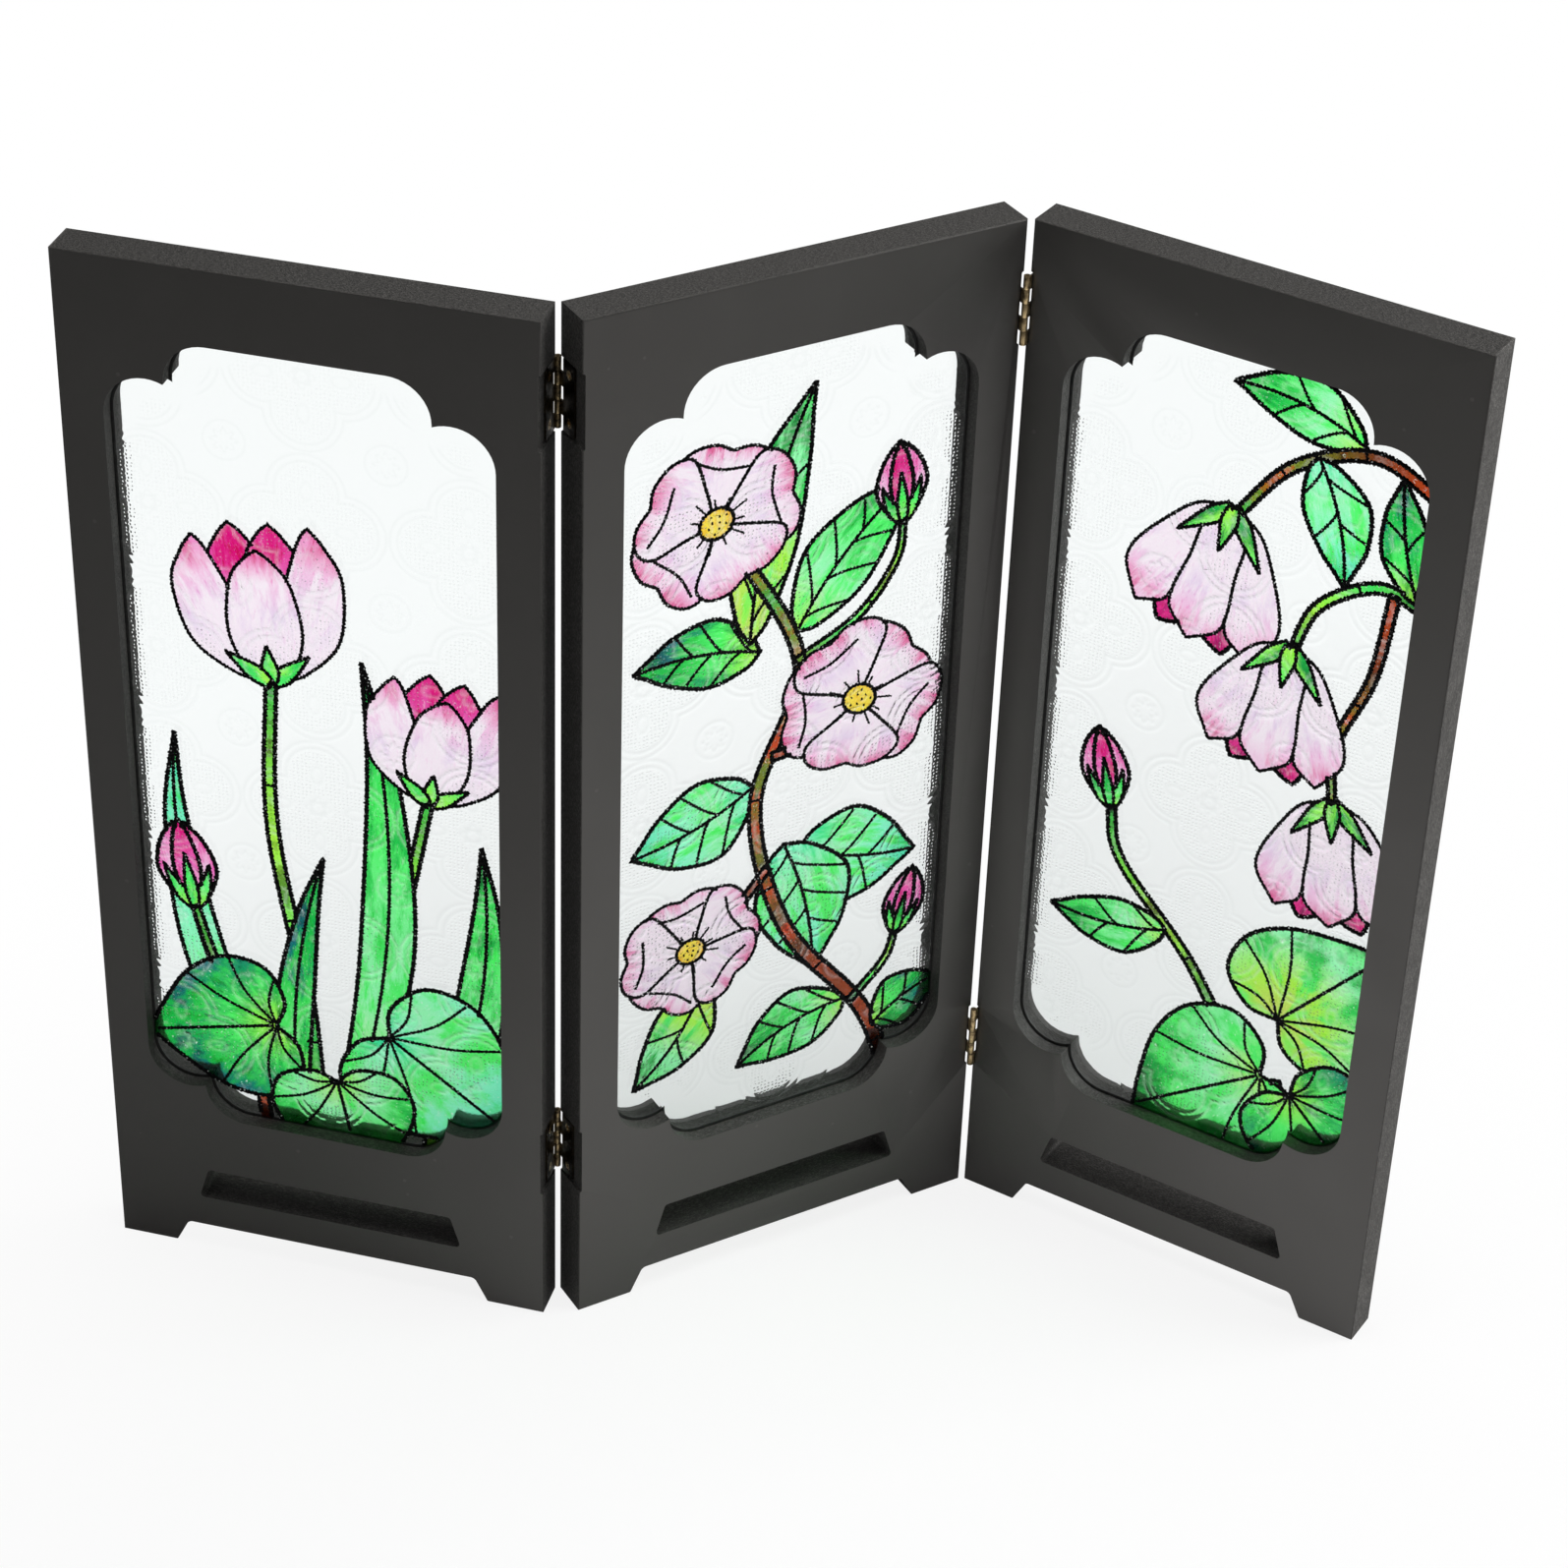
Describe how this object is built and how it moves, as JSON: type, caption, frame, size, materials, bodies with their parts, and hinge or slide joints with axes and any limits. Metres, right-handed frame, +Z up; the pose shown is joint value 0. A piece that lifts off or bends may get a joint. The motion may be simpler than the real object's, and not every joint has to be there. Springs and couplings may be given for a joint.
{
  "type": "desk divider screen",
  "caption": "Free-standing folding desk screen of flat windowed boards with embossed panes, slotted bottom rails and arched feet, joined end to end by small butt hinges.",
  "frame": {"origin": "on the surface that the screen stands on, at the middle of the box round the opened screen", "axes": "+X along the row of boards from the left board to the right, +Y away from the front, +Z up"},
  "size_m": [0.4572, 0.098, 0.4],
  "materials": {
    "board": "satin charcoal paint on fibreboard",
    "pane": "clear, embossed",
    "hinge": "antiqued",
    "pin": "antiqued",
    "screw": "antiqued",
    "outline": "raised gloss black line",
    "enamel": "translucent colour"
  },
  "bodies": {
    "middle": {"middle_board": "board", "middle_pane": "pane", "left_upper_inner_leaf": "hinge", "left_upper_inner_screws": "screw", "left_lower_inner_leaf": "hinge", "left_lower_inner_screws": "screw", "right_upper_inner_leaf": "hinge", "right_upper_inner_screws": "screw", "right_lower_inner_leaf": "hinge", "right_lower_inner_screws": "screw"},
    "left": {"left_board": "board", "left_pane": "pane", "left_upper_outer_leaf": "hinge", "left_upper_pin": "pin", "left_upper_outer_screws": "screw", "left_lower_outer_leaf": "hinge", "left_lower_pin": "pin", "left_lower_outer_screws": "screw"},
    "right": {"right_board": "board", "right_pane": "pane", "right_upper_outer_leaf": "hinge", "right_upper_pin": "pin", "right_upper_outer_screws": "screw", "right_lower_outer_leaf": "hinge", "right_lower_pin": "pin", "right_lower_outer_screws": "screw"}
  },
  "joints": [
    {"name": "left_fold", "type": "hinge", "parent": "middle", "child": "left", "pos_m": [-0.06717, -0.03308, 0.2], "axis": [0, 0, -1], "range_deg": [-44.5, 135.5]},
    {"name": "right_fold", "type": "hinge", "parent": "middle", "child": "right", "pos_m": [0.08131, 0.03513, 0.2], "axis": [0, 0, -1], "range_deg": [-62, 118]}
  ]
}
